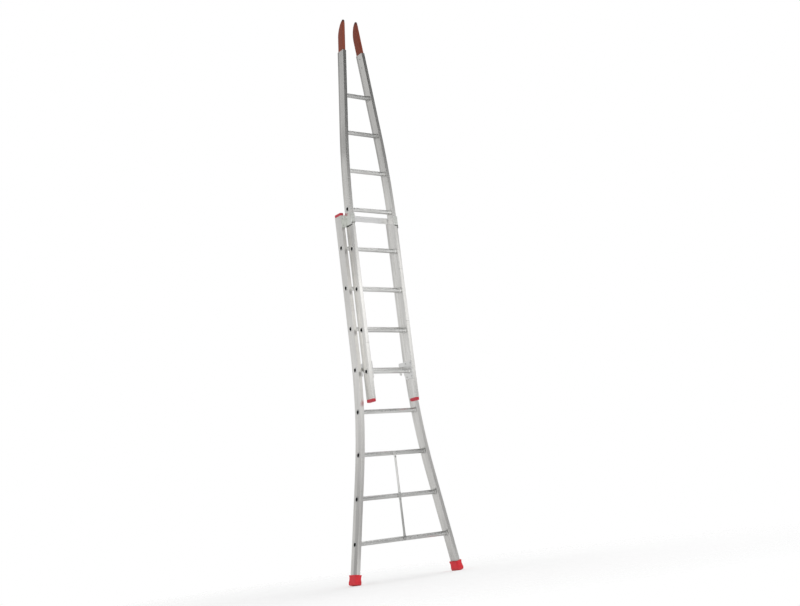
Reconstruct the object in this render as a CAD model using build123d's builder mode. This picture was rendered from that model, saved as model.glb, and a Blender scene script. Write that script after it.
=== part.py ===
"""Two-section aluminium ladder for window cleaning: a lower section with splayed stiles, and an upper
section that slides up its front face and hangs on its rungs by two fixed hooks.

Millimetres. X runs across the ladder, +Y points to the wall that the ladder leans on, and Z runs up the
stiles. The origin is on the floor, midway between the feet and at the middle of the ladder's depth.
"""

import os
from math import asin, atan, cos, degrees, pi, radians, sin, sqrt, tan

from build123d import *

# Rungs of both sections
rung_pitch = 250
rung_count = 8
rung_radius = 13.5
rung_wall = 2.3
rib_count = 22
rib_height = 0.7
rim_width = 2.5
rim_thickness = 1.6
collar_width = 3.5
collar_thickness = 4
collar_draft = 35

# Stile extrusion
stile_width = 25
stile_depth = 62
stile_wall = 2
stile_corner = 2
groove_margin = 3
groove_depth = 1.2
cavity_corner = 1

# Lower section: heights are measured from its first rung
first_rung_height = 225
lower_bend_start = 1115
lower_bend_radius = 4000
lower_splay = 10.75
lower_head = 197

# Upper section: heights are measured from its first rung
hooked_rung = 5
hook_drop = 21
open_rungs = 5
upper_width = 343
side_gap = 6
upper_bend_start = 880
upper_bend_radius = 6000
upper_taper = 6
upper_head = 295
upper_tail = 165

# Guide that holds the sections together
strap_thickness = 3
running_clearance = 1
bracket_height = 76
bracket_lip = 30
bracket_edge = 2.5
bracket_bend = 2
bracket_corner = 4
lip_notch = 14
cross_bar_height = 38
cross_bar_rise = 4
cross_bar_edge = 1
guide_rivet_margin = 8
guide_rivet_edge = 13

# Rubber feet
foot_wall = 6.5
foot_flare = 3.2
foot_corner = 9
foot_waist = 20
foot_height = 39
sole_thickness = 18.5
sole_round = 11
sole_trim = 1.2
tread_count = 5
tread_width = 4
tread_length = 26
tread_depth = 3
tread_pitch = 11

# End caps
cap_height = 19
cap_overhang = 0.6
cap_corner = 6
cap_round = 5
cap_plug_length = 15
cap_plug_wall = 2.5

# Wooden tips
tip_length = 212
tip_tenon = 120
tip_shoulder = 100
tip_point = 9
tip_round = 4
tip_rivet_margin = 32

# Hooks
hook_thickness = 5
hook_above = 60
hook_below = 48
hook_arm = 15
hook_arm_below = 35
hook_corner = 8
hook_front_margin = 1
hook_back_margin = 7
seat_play = 0.5
hook_rivet_edge = 13

# Tie rod down the three lowest rungs
tie_rungs = 3
tie_radius = 6.5
tie_flat_width = 19
tie_flat_thickness = 3.6
tie_flat_length = 28
tie_squeeze_length = 22

# Rivets and fits
rivet_radius = 2.4
rivet_head_radius = 5
rivet_head_height = 2
rivet_bulb_radius = 3.4
rivet_bulb_length = 3.5
fit_clearance = 0.1
seat_clearance = 0.05
contact_clearance = 0.3

# Planes of the two sections and the heights of their rungs
section_offset = stile_depth + strap_thickness + running_clearance
front_reach = stile_depth / 2 + running_clearance + strap_thickness
back_reach = stile_depth / 2 + foot_wall + foot_flare
lower_y = (section_offset + front_reach - back_reach) / 2
upper_y = lower_y - section_offset
lower_rungs = [first_rung_height + rung_pitch * i for i in range(rung_count)]
upper_base = lower_rungs[hooked_rung - 1] - hook_drop
upper_rungs = [upper_base + rung_pitch * i for i in range(rung_count)]
upper_x = (upper_width - stile_width) / 2
lower_x = upper_x + stile_width + side_gap
lower_bend_z = lower_rungs[0] + lower_bend_start
upper_bend_z = upper_rungs[0] + upper_bend_start
lower_top = lower_rungs[-1] + lower_head
upper_bottom = upper_rungs[0] - upper_tail
upper_top = upper_rungs[-1] + upper_head
sole_inset = stile_width / 2 + foot_wall + foot_flare - sole_round
splay = radians(lower_splay)
sole_drop = (sole_thickness - sole_round) * cos(splay) + sole_inset * sin(splay)
foot_z = sole_drop + sole_round - sole_trim
rim_radius = rung_radius + rim_width
collar_radius = rung_radius + collar_width
groove_width = 2 * (rim_radius + groove_margin)
cavity_width = stile_width - 2 * (stile_wall + groove_depth)
cavity_depth = stile_depth - 2 * stile_wall
groove_floor = stile_width / 2 - groove_depth
rung_bore = rung_radius - rung_wall
rung_hole = rung_radius + fit_clearance
rivet_hole = rivet_radius + fit_clearance
upper_face_x = upper_width / 2 - stile_width

os.makedirs("parts", exist_ok=True)


def save(piece, name):
    """Label a finished piece and write it as its own file."""
    piece.part.label = name
    export_step(piece.part, f"parts/{name}.step")


def save_pair(piece, name):
    """Write a right-hand piece and its mirror image as a left and right pair."""
    save(piece, f"{name}_right")
    with BuildPart() as twin:
        mirror(piece.part, about=Plane.YZ)
    save(twin, f"{name}_left")


def bend_at(run, radius, angle):
    """Sideways shift and slope in degrees of a stile this far along Z past the start of its bend."""
    arc_run = radius * sin(radians(angle))
    if run <= 0:
        return 0, 0
    if run < arc_run:
        slope = asin(run / radius)
        return radius * (1 - cos(slope)), degrees(slope)
    arc_shift = radius * (1 - cos(radians(angle)))
    return arc_shift + (run - arc_run) * tan(radians(angle)), angle


def lower_centre(z):
    """Centre in X and slope of the right-hand lower stile at a height."""
    shift, slope = bend_at(lower_bend_z - z, lower_bend_radius, lower_splay)
    return lower_x + shift, slope


def upper_centre(z):
    """Centre in X and slope of the right-hand upper stile at a height."""
    shift, slope = bend_at(z - upper_bend_z, upper_bend_radius, upper_taper)
    return upper_x - shift, slope


def across(x, y, z):
    """Plane square to X: its own x runs along +Y and its own y along +Z."""
    return Plane((x, y, z), x_dir=(0, 1, 0), z_dir=(1, 0, 0))


def outward(x, y, z, slope):
    """Plane in the middle of a right-hand stile, facing out of its outer face."""
    return Plane((x, y, z), x_dir=(0, 1, 0), z_dir=(cos(radians(slope)), 0, sin(radians(slope))))


def along(x, y, z, slope):
    """Plane square to a right-hand stile, facing up it, with its own x pointing outwards."""
    tilt = radians(slope)
    return Plane((x, y, z), x_dir=(cos(tilt), 0, sin(tilt)), z_dir=(-sin(tilt), 0, cos(tilt)))


def end_axis(plane):
    """Axis out of a plane, from its origin."""
    return Axis(plane.origin, plane.z_dir)


def stile_section():
    """Hollow rounded box with a shallow groove along each wide face."""
    RectangleRounded(stile_width, stile_depth, stile_corner)
    with Locations((-stile_width / 2, 0), (stile_width / 2, 0)):
        Rectangle(2 * groove_depth, groove_width, mode=Mode.SUBTRACT)
    RectangleRounded(cavity_width, cavity_depth, cavity_corner, mode=Mode.SUBTRACT)


def bent_stile(x, y, straight, bend_z, radius, angle, tail):
    """Right-hand stile: a straight length up (or, if negative, down) from the bend, the bend, and a straight
    tail. A stile whose straight length is above its bend bends outwards, the other kind inwards."""
    above = straight > 0
    centre_x = x + radius if above else x - radius
    with BuildPart() as stile:
        with BuildSketch(Plane((x, y, bend_z))) as profile:
            stile_section()
        extrude(amount=straight)
        revolve(profile.sketch, axis=Axis((centre_x, y, bend_z), (0, -1, 0)), revolution_arc=angle)
        end_face = stile.faces().sort_by(Axis.Z)[0 if above else -1]
        extrude(end_face, amount=tail)
    return stile.part


def rivets(seats, grip, seat=seat_clearance):
    """Group of blind rivets: a domed head on each plane, facing its normal, a shank through the grip and a
    bulb behind it, clear of the far wall by the seat."""
    bulb_start = -grip - seat
    bulb_end = bulb_start - rivet_bulb_length
    dome_radius = (rivet_head_radius**2 + rivet_head_height**2) / (2 * rivet_head_height)
    dome_half_angle = degrees(asin(rivet_head_radius / dome_radius))
    with BuildPart() as group:
        for plane in seats:
            with BuildSketch(Plane(plane.origin, x_dir=plane.x_dir, z_dir=-plane.y_dir)):
                with BuildLine():
                    Polyline(
                        (0, rivet_head_height),
                        (0, bulb_end),
                        (rivet_bulb_radius, bulb_end),
                        (rivet_bulb_radius, bulb_start),
                        (rivet_radius, bulb_start),
                        (rivet_radius, 0),
                        (rivet_head_radius, 0),
                    )
                    dome_centre = (0, rivet_head_height - dome_radius)
                    CenterArc(dome_centre, dome_radius, 90 - dome_half_angle, dome_half_angle)
                make_face()
            revolve(axis=end_axis(plane))
    return group


def holes(planes, radius, depth):
    """Round cuts of one depth below each plane, from a little above it."""
    with BuildPart() as cut:
        for plane in planes:
            with BuildSketch(plane.offset(stile_wall)):
                Circle(radius)
        extrude(amount=-depth - stile_wall)
    return cut.part


def mirrored(planes):
    """The planes and their mirror images on the other side of the ladder."""
    twins = []
    for plane in planes:
        origin, x_dir, z_dir = plane.origin, plane.x_dir, plane.z_dir
        twins.append(
            Plane(
                (-origin.X, origin.Y, origin.Z),
                x_dir=(-x_dir.X, x_dir.Y, x_dir.Z),
                z_dir=(-z_dir.X, z_dir.Y, z_dir.Z),
            )
        )
    return planes + twins


def ribbed_rung(y, z, centre_x, slope, through, collar_seat, front_hole=None):
    """Rung tube from stile to stile. A through rung has a rim rolled over outside, the other kind ends
    inside the stile. The collar lies this far in from the middle of the stile."""
    middle = outward(centre_x, y, z, slope)
    rim_seat = middle.offset(groove_floor + seat_clearance)
    end = rim_seat.offset(rim_thickness) if through else middle.offset(cavity_width / 2 - seat_clearance)
    collar = middle.offset(-collar_seat - seat_clearance)
    grip_end = centre_x - stile_width
    rib_angle = pi / rib_count
    rib_points = [
        ((rung_radius - rib_height * (i % 2)) * cos(rib_angle * i),
         (rung_radius - rib_height * (i % 2)) * sin(rib_angle * i))
        for i in range(2 * rib_count)
    ]
    with BuildPart() as rung:
        with BuildSketch(across(0, y, z)):
            with BuildLine():
                Polyline(rib_points, close=True)
            make_face()
        extrude(amount=grip_end)
        with BuildSketch(across(grip_end, y, z)):
            Circle(rung_radius)
        extrude(amount=2 * stile_width)
        split(bisect_by=end, keep=Keep.BOTTOM)
        if through:
            with BuildSketch(rim_seat):
                Circle(rim_radius)
            extrude(amount=rim_thickness)
        with BuildSketch(collar):
            Circle(collar_radius)
        extrude(amount=-collar_thickness, taper=collar_draft)
        with BuildSketch(across(0, y, z)):
            Circle(rung_bore)
        extrude(amount=grip_end + 2 * stile_width, mode=Mode.SUBTRACT)
        mirror(about=Plane.YZ)
        if front_hole:
            with BuildSketch(front_hole):
                Circle(rivet_hole)
            extrude(amount=-rung_radius, mode=Mode.SUBTRACT)
    return rung


def end_cap(end):
    """Domed plug for a stile end: the plane lies on the end and faces out of it."""
    with BuildPart() as cap:
        with BuildSketch(end):
            RectangleRounded(stile_width + 2 * cap_overhang, stile_depth + 2 * cap_overhang, cap_corner)
        extrude(amount=cap_height)
        fillet(cap.edges().filter_by_position(end_axis(end), cap_height, cap_height), cap_round)
        plug_width = cavity_width - 2 * fit_clearance
        plug_depth = cavity_depth - 2 * fit_clearance
        with BuildSketch(end):
            RectangleRounded(plug_width, plug_depth, cavity_corner - fit_clearance)
        extrude(amount=-cap_plug_length)
        with BuildSketch(end.offset(-cap_plug_length)):
            Rectangle(plug_width - 2 * cap_plug_wall, plug_depth - 2 * cap_plug_wall)
        extrude(amount=cap_plug_length, mode=Mode.SUBTRACT)
    return cap


# Lower stiles, with a hole through both walls for each rung and holes for the bracket rivets in front
bracket_bottom = lower_top - bracket_height
guide_rivet_heights = (lower_top - cap_plug_length - guide_rivet_margin, bracket_bottom + guide_rivet_edge)
lower_front_y = lower_y - stile_depth / 2
bracket_rivet_planes = [
    Plane((lower_x, lower_front_y - strap_thickness, z), x_dir=(1, 0, 0), z_dir=(0, -1, 0))
    for z in guide_rivet_heights
]
lower_arc_run = lower_bend_radius * sin(splay)
lower_tail = (lower_bend_z - lower_arc_run - foot_z) / cos(splay)
with BuildPart() as lower_stile:
    add(bent_stile(lower_x, lower_y, lower_top - lower_bend_z, lower_bend_z, lower_bend_radius, lower_splay,
                   lower_tail))
    for z in lower_rungs:
        with BuildSketch(across(lower_centre(z)[0], lower_y, z)):
            Circle(rung_hole)
    extrude(amount=stile_width, both=True, mode=Mode.SUBTRACT)
    add(holes(bracket_rivet_planes, rivet_hole, strap_thickness + stile_wall * 2), mode=Mode.SUBTRACT)
save_pair(lower_stile, "lower_stile")

# Lower rungs: the lowest ones have a hole in front for the tie rod's rivet
tie_y = lower_y - rung_radius
tie_rivet_planes = [
    Plane((0, tie_y - tie_flat_thickness, z), x_dir=(1, 0, 0), z_dir=(0, -1, 0))
    for z in lower_rungs[:tie_rungs]
]
for number, z in enumerate(lower_rungs, start=1):
    centre_x, slope = lower_centre(z)
    tie_hole = tie_rivet_planes[number - 1] if number <= tie_rungs else None
    rung = ribbed_rung(lower_y, z, centre_x, slope, True, groove_floor, tie_hole)
    save(rung, f"lower_rung_{number}")

# Rubber feet: a boot round the stile end, drawn in at the waist, with a rounded sole square to the stile that
# is trimmed level where it stands
foot_x, foot_slope = lower_centre(foot_z)
foot_plane = along(foot_x, lower_y, foot_z, foot_slope)
foot_rim = foot_height - foot_waist
with BuildPart() as foot:
    with BuildSketch(foot_plane.offset(foot_waist)) as waist:
        RectangleRounded(stile_width + 2 * foot_wall, stile_depth + 2 * foot_wall, foot_corner)
    extrude(amount=-foot_waist, taper=-degrees(atan(foot_flare / foot_waist)))
    extrude(waist.sketch, amount=foot_rim, taper=-degrees(atan(foot_flare / foot_rim)))
    extrude(foot.faces().sort_by(end_axis(foot_plane))[0], amount=sole_thickness)
    fillet(foot.faces().sort_by(end_axis(foot_plane))[0].edges(), sole_round)
    split(bisect_by=Plane.XY, keep=Keep.TOP)
    with BuildSketch(foot_plane):
        RectangleRounded(
            stile_width + 2 * fit_clearance, stile_depth + 2 * fit_clearance, stile_corner + fit_clearance
        )
    extrude(amount=2 * foot_height, mode=Mode.SUBTRACT)
    with BuildSketch(foot_plane.offset(-sole_thickness)):
        with GridLocations(0, tread_pitch, 1, tread_count):
            SlotOverall(tread_length, tread_width)
    extrude(amount=tread_depth, mode=Mode.SUBTRACT)
save_pair(foot, "foot")

# Plugs in the tops of the lower stiles
lower_cap = end_cap(Plane((lower_x, lower_y, lower_top)))
save_pair(lower_cap, "lower_cap")

# Guide brackets: flange on the front of the lower stile, wall past the outside of the upper stile and a lip
# over its front that is notched at the bottom, bent from one strip
upper_front_y = upper_y - stile_depth / 2
wall_in = upper_width / 2 + running_clearance
lip_y = upper_front_y - running_clearance - strap_thickness
flange_end = lower_x + stile_width / 2 - bracket_edge
notch_plane = Plane((wall_in - bracket_bend, lip_y, bracket_bottom), x_dir=(-1, 0, 0), z_dir=(0, 1, 0))
with BuildPart() as bracket:
    with BuildSketch(Plane.XY.offset(bracket_bottom)):
        with BuildLine():
            FilletPolyline(
                (flange_end, lower_front_y - strap_thickness),
                (wall_in + strap_thickness, lower_front_y - strap_thickness),
                (wall_in + strap_thickness, lip_y),
                (wall_in + strap_thickness - bracket_lip, lip_y),
                radius=[bracket_bend, bracket_bend + strap_thickness],
            )
            offset(amount=strap_thickness, side=Side.RIGHT)
        make_face()
    extrude(amount=bracket_height)
    with BuildSketch(notch_plane):
        Rectangle(bracket_lip, lip_notch, align=(Align.MIN, Align.MIN))
    extrude(amount=strap_thickness, mode=Mode.SUBTRACT)
    fillet(bracket.edges().filter_by(Axis.Y).group_by(Axis.X)[0], bracket_corner)
    fillet(bracket.edges().filter_by(Axis.Y).group_by(Axis.X)[-1], bracket_corner)
    add(holes(bracket_rivet_planes, rivet_hole, strap_thickness), mode=Mode.SUBTRACT)
save_pair(bracket, "guide_bracket")

guide_rivets = rivets(mirrored(bracket_rivet_planes), strap_thickness + stile_wall)
save(guide_rivets, "guide_rivets")

# Flat bar from bracket to bracket, behind the upper section, a little proud of the stile tops
cross_bar_z = lower_top + cross_bar_rise - cross_bar_height / 2
with BuildPart() as cross_bar:
    with BuildSketch(Plane((0, lower_front_y, cross_bar_z), x_dir=(1, 0, 0), z_dir=(0, -1, 0))):
        Rectangle(2 * wall_in, cross_bar_height)
    extrude(amount=strap_thickness)
    fillet(cross_bar.edges().filter_by(Axis.X), cross_bar_edge)
save(cross_bar, "guide_cross_bar")

# Tie rod: a round rod pressed flat at each rung it crosses, with its flats on the fronts of the rungs
tie_heights = lower_rungs[:tie_rungs]
tie_axis_y = tie_y - tie_flat_thickness / 2
flat_half = tie_flat_length / 2
round_corner = tie_radius - seat_clearance
flat_corner = tie_flat_thickness / 2 - seat_clearance
with BuildPart() as tie_rod:
    for z in tie_heights:
        with BuildSketch(Plane((0, tie_y, z), x_dir=(1, 0, 0), z_dir=(0, -1, 0))):
            Circle(tie_flat_width / 2)
            if z > tie_heights[0]:
                with Locations((0, -flat_half / 2)):
                    Rectangle(tie_flat_width, flat_half)
            if z < tie_heights[-1]:
                with Locations((0, flat_half / 2)):
                    Rectangle(tie_flat_width, flat_half)
        extrude(amount=tie_flat_thickness)
    for low, high in zip(tie_heights, tie_heights[1:]):
        squeezes = (
            (low + flat_half, low + flat_half + tie_squeeze_length),
            (high - flat_half, high - flat_half - tie_squeeze_length),
        )
        for flat_z, round_z in squeezes:
            with BuildSketch(Plane((0, tie_axis_y, flat_z))):
                RectangleRounded(tie_flat_width, tie_flat_thickness, flat_corner)
            with BuildSketch(Plane((0, tie_axis_y, round_z))):
                RectangleRounded(2 * tie_radius, 2 * tie_radius, round_corner)
            loft(ruled=True)
        with BuildSketch(Plane((0, tie_axis_y, squeezes[0][1]))):
            RectangleRounded(2 * tie_radius, 2 * tie_radius, round_corner)
        extrude(amount=squeezes[1][1] - squeezes[0][1])
    add(holes(tie_rivet_planes, rivet_hole, tie_flat_thickness), mode=Mode.SUBTRACT)
save(tie_rod, "tie_rod")

tie_bulb_seat = rung_bore - sqrt(rung_bore**2 - rivet_bulb_radius**2)
tie_rivets = rivets(tie_rivet_planes, tie_flat_thickness + rung_wall, tie_bulb_seat)
save(tie_rivets, "tie_rod_rivets")

# Upper stiles: rung holes through both walls low down and through the inner wall alone higher up, holes for
# the hooks' rivets and holes across the top for the tips' rivets
ridge_y = (groove_width / 2 + stile_depth / 2 - stile_corner) / 2
hook_face_x = upper_face_x - hook_thickness
hook_rivet_planes = [
    Plane((hook_face_x, upper_y + side * ridge_y, upper_rungs[0] + height), x_dir=(0, 1, 0), z_dir=(-1, 0, 0))
    for side in (-1, 1)
    for height in (hook_above - hook_rivet_edge, hook_rivet_edge - hook_below)
]
tip_x, tip_slope = upper_centre(upper_top)
tip_plane = along(tip_x, upper_y, upper_top, tip_slope)
tip_rivet_planes = [
    Plane(tip_plane.from_local_coords((groove_floor, 0, -depth)), x_dir=(0, 1, 0), z_dir=tip_plane.x_dir)
    for depth in (tip_rivet_margin, tip_tenon - tip_rivet_margin)
]
upper_arc_run = upper_bend_radius * sin(radians(upper_taper))
upper_tip_tail = (upper_top - upper_bend_z - upper_arc_run) / cos(radians(upper_taper))
with BuildPart() as upper_stile:
    add(bent_stile(upper_x, upper_y, upper_bottom - upper_bend_z, upper_bend_z, upper_bend_radius,
                   upper_taper, upper_tip_tail))
    for z in upper_rungs[:open_rungs]:
        with BuildSketch(across(upper_centre(z)[0], upper_y, z)):
            Circle(rung_hole)
    extrude(amount=stile_width, both=True, mode=Mode.SUBTRACT)
    for z in upper_rungs[open_rungs:]:
        with BuildSketch(across(upper_centre(z)[0], upper_y, z)):
            Circle(rung_hole)
    extrude(amount=-stile_width, mode=Mode.SUBTRACT)
    add(holes(hook_rivet_planes, rivet_hole, hook_thickness + 2 * (stile_wall + groove_depth)),
        mode=Mode.SUBTRACT)
    add(holes(tip_rivet_planes, rivet_hole, stile_width), mode=Mode.SUBTRACT)
save_pair(upper_stile, "upper_stile")

# Upper rungs: the first one passes through the hooks, so its collars lie on them
for number, z in enumerate(upper_rungs, start=1):
    centre_x, slope = upper_centre(z)
    collar_seat = stile_width / 2 + hook_thickness if number == 1 else groove_floor
    rung = ribbed_rung(upper_y, z, centre_x, slope, number <= open_rungs, collar_seat)
    save(rung, f"upper_rung_{number}")

# Plugs in the bottoms of the upper stiles
upper_cap = end_cap(Plane((upper_x, upper_y, upper_bottom), x_dir=(1, 0, 0), z_dir=(0, 0, -1)))
save_pair(upper_cap, "upper_cap")

# Hooks: a plate on the inner face of the stile, with an arm over a rung of the lower section
seat_radius = rung_radius + seat_play
seat_z = hook_drop + rung_radius + contact_clearance - seat_radius
plate_front = -stile_depth / 2 + hook_front_margin
arm_end = section_offset + seat_radius + hook_arm
arm_bottom = hook_drop - hook_arm_below
with BuildPart() as hook:
    with BuildSketch(across(hook_face_x, upper_y, upper_rungs[0])) as plate:
        with BuildLine():
            Polyline(
                (plate_front, hook_above),
                (arm_end, hook_above),
                (arm_end, arm_bottom),
                (section_offset - seat_radius, arm_bottom),
                (stile_depth / 2 + hook_back_margin, -hook_below),
                (plate_front, -hook_below),
                close=True,
            )
        make_face()
        fillet(plate.vertices(), hook_corner)
        with Locations((section_offset, seat_z)):
            Circle(seat_radius, mode=Mode.SUBTRACT)
        with Locations((section_offset, seat_z - hook_above)):
            Rectangle(2 * seat_radius, 2 * hook_above, mode=Mode.SUBTRACT)
        Circle(rung_hole, mode=Mode.SUBTRACT)
    extrude(amount=hook_thickness)
    add(holes(hook_rivet_planes, rivet_hole, hook_thickness), mode=Mode.SUBTRACT)
save_pair(hook, "hook")

hook_rivets = rivets(mirrored(hook_rivet_planes), hook_thickness + stile_wall + groove_depth)
save(hook_rivets, "hook_rivets")

# Wooden tips: a plank pushed into the stile, with a straight front and a back that curves forward to a point
tip_half_depth = cavity_depth / 2 - fit_clearance
tip_half_width = cavity_width / 2 - fit_clearance
with BuildPart() as tip:
    with BuildSketch(outward(tip_x, upper_y, upper_top, tip_slope)):
        with BuildLine():
            front = Polyline(
                (tip_point - tip_half_depth, tip_length),
                (-tip_half_depth, tip_length),
                (-tip_half_depth, 0),
                (tip_half_depth, 0),
                (tip_half_depth, tip_shoulder),
            )
            TangentArc(front @ 1, front @ 0, tangent=front % 1)
        make_face()
    extrude(amount=tip_half_width, both=True)
    fillet(tip.edges() - tip.faces().sort_by(Axis.Z)[0].edges(), tip_round)
    with BuildSketch(tip_plane):
        RectangleRounded(2 * tip_half_width, 2 * tip_half_depth, cavity_corner)
    extrude(amount=-tip_tenon)
    add(holes(tip_rivet_planes, rivet_hole, stile_width), mode=Mode.SUBTRACT)
save_pair(tip, "tip")

tip_rivets = rivets(mirrored(tip_rivet_planes), 2 * groove_floor)
save(tip_rivets, "tip_rivets")
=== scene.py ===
"""Looks of a two-section window cleaning ladder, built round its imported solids.

Metres. X runs across the ladder, +Y points to the wall that it leans on and Z runs up the stiles.
"""

from math import cos, pi, radians, sin, tan

import bmesh
import bpy
import numpy as np
from mathutils import Matrix, Vector


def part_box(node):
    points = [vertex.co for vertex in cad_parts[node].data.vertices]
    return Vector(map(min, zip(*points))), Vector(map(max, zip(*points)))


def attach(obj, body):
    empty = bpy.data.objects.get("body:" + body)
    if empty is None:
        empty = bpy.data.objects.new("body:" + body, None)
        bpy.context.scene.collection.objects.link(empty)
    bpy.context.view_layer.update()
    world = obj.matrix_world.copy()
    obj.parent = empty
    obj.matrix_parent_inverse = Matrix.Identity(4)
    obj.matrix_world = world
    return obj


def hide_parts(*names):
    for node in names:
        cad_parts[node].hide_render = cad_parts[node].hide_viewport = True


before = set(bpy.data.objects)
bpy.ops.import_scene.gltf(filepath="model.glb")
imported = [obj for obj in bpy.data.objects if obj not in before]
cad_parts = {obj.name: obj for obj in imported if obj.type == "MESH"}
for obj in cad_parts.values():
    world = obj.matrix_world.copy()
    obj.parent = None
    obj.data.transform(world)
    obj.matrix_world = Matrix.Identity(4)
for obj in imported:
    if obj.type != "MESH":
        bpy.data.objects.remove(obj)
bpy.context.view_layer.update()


# Stiles
# Four drawn aluminium box sections with a shallow groove along both wide faces, drilled for the rungs. The
# lower pair bends outwards to the feet, the upper pair inwards to the tips. Handling keeps them bright, and
# painted shade darkens them towards the floor, most on the front halves of the outer faces, on the inner
# faces and on the inner halves of the narrow faces. On the upper pair's outer sides the brackets' painted
# shade darkens them just below the brackets, and they are darker along a higher stretch there and towards
# the tips.
stile_half_width = 0.0125
stile_half_depth = 0.031
stile_corner = 0.002
groove_floor = 0.0113
groove_half = 0.019
groove_lip = 0.0006
floor_half = 0.0187
cavity_half_width = 0.0093
cavity_half_depth = 0.029
cavity_corner = 0.001
row_spacing = 0.04
hole_columns = 13
# Holding lines this far from a bend keep the shading of the flat faces beside it even.
hold_step = 0.0003
crisp_angle = radians(40)
rung_pitch = 0.25
rung_count = 8
rung_steps = rung_pitch * np.arange(rung_count)
rung_hole = 0.0136
lower_splay = radians(10.75)
upper_taper = radians(6)
lower_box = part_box("lower_stile_right")
upper_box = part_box("upper_stile_right")
lower = {
    "x": lower_box[0].x + stile_half_width,
    "y": (lower_box[0].y + lower_box[1].y) / 2,
    "bends": -1,
    "bend_z": 1.340,
    "bend_radius": 4.0,
    "bend_angle": lower_splay,
    "bottom": lower_box[0].z + stile_half_width * sin(lower_splay),
    "top": lower_box[1].z,
    "rungs": 0.225 + rung_steps,
    "open_rungs": 8,
    "rough": (0.25, 0.39),
    "outer_shade_and_dulling": ((0.0,), (0.0,)),
}
upper = {
    "x": upper_box[1].x - stile_half_width,
    "y": (upper_box[0].y + upper_box[1].y) / 2,
    "bends": 1,
    "bend_z": 2.084,
    "bend_radius": 6.0,
    "bend_angle": upper_taper,
    "bottom": upper_box[0].z,
    "top": upper_box[1].z - stile_half_width * sin(upper_taper),
    "rungs": 1.204 + rung_steps,
    "open_rungs": 5,
    "rough": (0.18, 0.31),
    # Painted shade of the bracket just below it on the outer sides, then a darker stretch higher up.
    "outer_shade_and_dulling": ((1.70, 2.06, 2.12, 2.50, 2.57, 2.65, 2.80), (0.0, 0.69, 0.1, 0.0, 0.6, 0.6, 0.15)),
}
sections = {"lower": lower, "upper": upper}
# Wear and shade is the shine of an unshaded face. Each value below is a share of it that is lost, to
# painted shade towards the floor and across the faces, and to dulling towards the tips.
bright_wear = 0.75
low_shade_height = 1.3
least_low_shade = 0.1
side_shade_reach = (-0.002, 0.008)
least_side_shade = 0.2
narrow_face_shade = (0.4, 0.0)
inner_face_shade = 0.6
dull_top = {"z": (2.25, 2.6), "back_y": (0.015, 0.021), "back": 0.95, "inner": 0.4}
pattern_shift = np.array([0.31, 0.17, 7.3])
# Most values of a noise pattern lie in the middling range.
middling = (0.3, 0.7)
line_shade = 0.16
line_depth = 0.00008
cloud_share = 0.02
cloud_limits = (1.5, 9.0)
cloud_shade = (0.05, 0.4)
scrape_share = 0.3
scrape_levels = (0.66, 0.74)
scuff_share = 0.22
scuff_rough = 0.12
wear_share = 0.7


def stile_line(section, z):
    """Middle line of a right-hand stile at heights z, in X, and its slope: straight up to the bend, then an
    arc of the bend's radius, then straight on at the bend's angle."""
    run = section["bends"] * (z - section["bend_z"])
    radius, angle = section["bend_radius"], section["bend_angle"]
    arc_run = radius * sin(angle)
    slope = np.arcsin(np.clip(run, 0, arc_run) / radius)
    shift = radius * (1 - np.cos(slope)) + np.maximum(run - arc_run, 0) * tan(angle)
    return section["x"] - section["bends"] * shift, slope


def points_of(*parts):
    """Points from their coordinates, which are spread to one shape."""
    return np.stack(np.broadcast_arrays(*parts), axis=-1)


def on_stile(section, out, y, z):
    """Points of a right-hand stile: the middle line at height z, plus out along the outward normal of the
    bent stile, plus y towards the wall."""
    x, slope = stile_line(section, z)
    return points_of(x + out * np.cos(slope), section["y"] + y, z + out * np.sin(slope))


def arc(centre, radius, start, end, steps):
    """Points of a circular arc from one angle to another, in degrees, with both ends."""
    angle = np.radians(np.linspace(start, end, steps + 1))
    return np.array(centre) + radius * points_of(np.cos(angle), np.sin(angle))


def cells(numbers):
    """Quads between the neighbouring lines of a two-way array of vertex numbers, row after row."""
    corners = (numbers[:-1, :-1], numbers[:-1, 1:], numbers[1:, 1:], numbers[1:, :-1])
    return np.stack(corners, axis=-1).reshape(-1, 4)


def ringed(numbers):
    """The same array with its first column repeated at the end, so that its rows close into rings."""
    return np.concatenate([numbers, numbers[:, :1]], axis=1)


def edge_of(square):
    """Values round the edge of a square array, once round and in order."""
    return np.concatenate([square[0, :-1], square[:-1, -1], square[-1, :0:-1], square[:0:-1, 0]])


def meshed(name, points, quads, lids=()):
    """Object from vertex places, quads and flat lids."""
    mesh = bpy.data.meshes.new(name)
    faces = quads.tolist() + [lid.tolist() for lid in lids]
    mesh.from_pydata(points.reshape(-1, 3).tolist(), [], faces)
    piece = bpy.data.objects.new(name, mesh)
    bpy.context.scene.collection.objects.link(piece)
    return piece


def skin(name, points, quads, lids=(), **fields):
    """Closed smooth-shaded piece with its faces turned outwards. Edges that turn by more than the crisp
    angle stay sharp. Each field is a number or a place that is kept for every vertex."""
    piece = meshed(name, points, quads, lids)
    mesh = piece.data
    for field, values in fields.items():
        values = np.asarray(values, np.float32)
        kind, key = ("FLOAT_VECTOR", "vector") if values.shape[-1] == 3 else ("FLOAT", "value")
        mesh.attributes.new(field, kind, "POINT").data.foreach_set(key, values.ravel())
    shell = bmesh.new()
    shell.from_mesh(mesh)
    bmesh.ops.recalc_face_normals(shell, faces=shell.faces)
    shell.to_mesh(mesh)
    shell.free()
    mesh.shade_smooth()
    mesh.set_sharp_from_angle(angle=crisp_angle)
    return piece


def fitted(node, made, body, slot, material, points, quads, lids=(), **fields):
    """Piece with its material and body, which stands for the solid of the node. The slot is not used."""
    piece = skin(f"{node}_{made}", points, quads, lids, **fields)
    piece.data.materials.append(material)
    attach(piece, body)
    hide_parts(node)


def mirrored(points):
    """The same places on the other side of the ladder."""
    return points * np.array([-1.0, 1.0, 1.0])


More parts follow.
